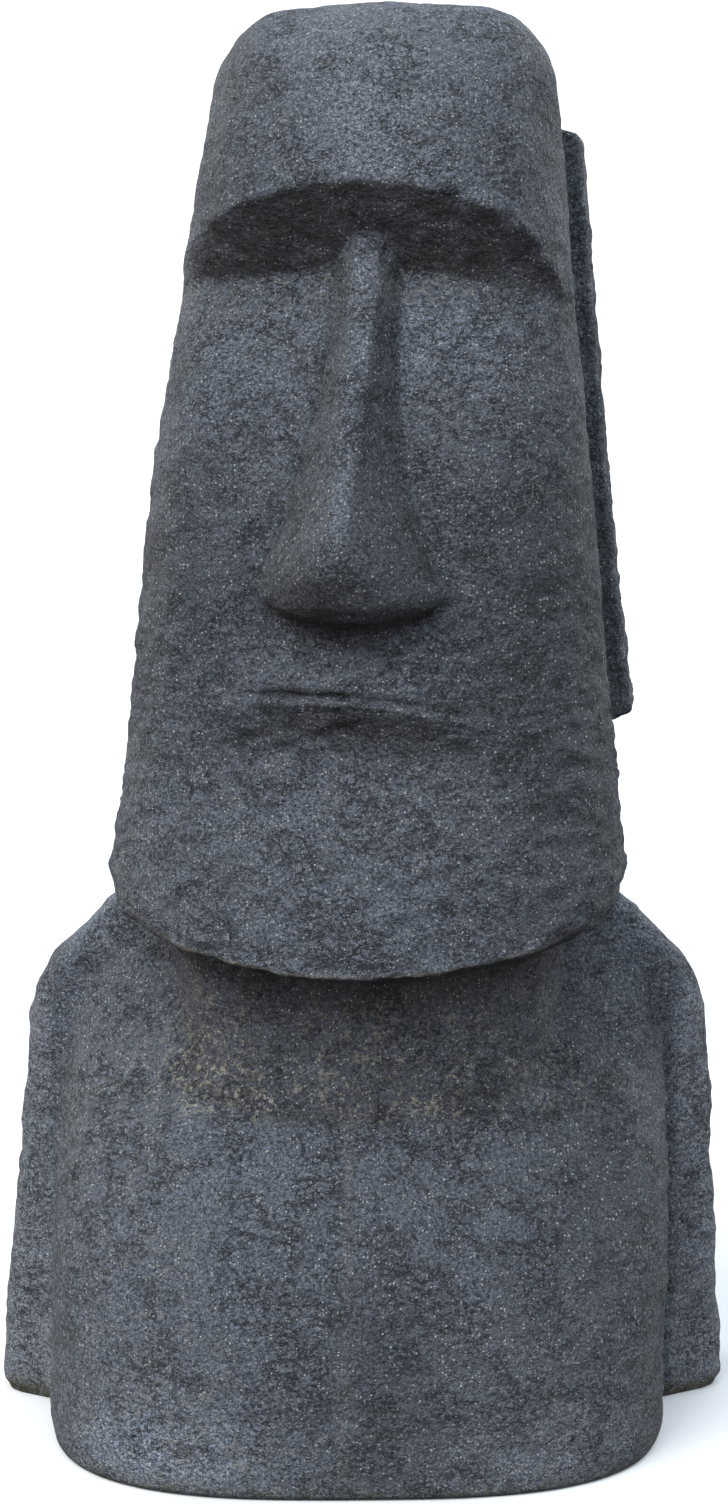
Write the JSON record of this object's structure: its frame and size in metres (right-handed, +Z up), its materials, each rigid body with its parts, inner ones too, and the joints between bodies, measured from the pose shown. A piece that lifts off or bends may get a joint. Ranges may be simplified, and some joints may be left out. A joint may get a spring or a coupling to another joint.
{
  "type": "moai garden statue",
  "caption": "Stylised moai: a long stone head with heavy brow, long nose and slab ears on a short armed bust, standing on a flat underside.",
  "frame": {"origin": "middle of the overall footprint, on the flat underside", "axes": "+Z up; the bust faces -Y and its width runs along X; the head is turned 8 degrees towards -X"},
  "size_m": [0.535, 0.3444, 1],
  "materials": {
    "cast_stone": "dark blue-grey cast stone with a fine gritty grain, weathered, with pale lichen specks and a little moss near the base"
  },
  "bodies": {
    "root": {"moai_statue": "cast_stone"}
  },
  "joints": []
}
